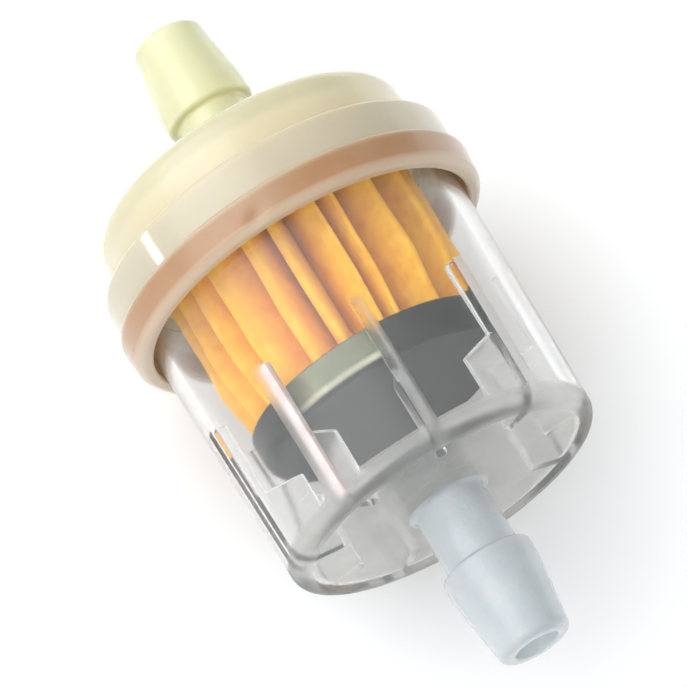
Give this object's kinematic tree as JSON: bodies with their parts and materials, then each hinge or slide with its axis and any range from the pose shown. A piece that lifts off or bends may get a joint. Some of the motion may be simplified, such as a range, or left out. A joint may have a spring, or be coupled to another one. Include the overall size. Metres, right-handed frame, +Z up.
{
  "type": "inline fuel filter",
  "caption": "Small see-through inline fuel filter: a translucent cap and a clear finned bowl, each with a hose barb, around a pleated paper element with a metal end cup.",
  "frame": {"origin": "on the filter's axis, halfway between the tips of the two hose barbs", "axes": "+X along the axis, out of the clear bowl's barb; +Z up when the filter lies on its side"},
  "size_m": [0.055, 0.0292, 0.0292],
  "materials": {
    "cap_plastic": "satin translucent cream moulding",
    "bowl_plastic": "clear moulding with a glossy skin",
    "filter_paper": "matt resin-treated paper",
    "clip_metal": "plain folded strip",
    "cup_steel": "dull dark plated steel",
    "adhesive": "cured amber adhesive",
    "plate_plastic": "cream moulding",
    "seal_rubber": "black fuel-proof rubber"
  },
  "bodies": {
    "root": {"cap": "cap_plastic", "clear_bowl": "bowl_plastic", "pleated_paper": "filter_paper", "pleat_seam_clip": "clip_metal", "closed_end_cup": "cup_steel", "closed_end_adhesive": "adhesive", "open_end_plate": "plate_plastic", "open_end_adhesive": "adhesive", "element_seal": "seal_rubber"}
  },
  "joints": []
}
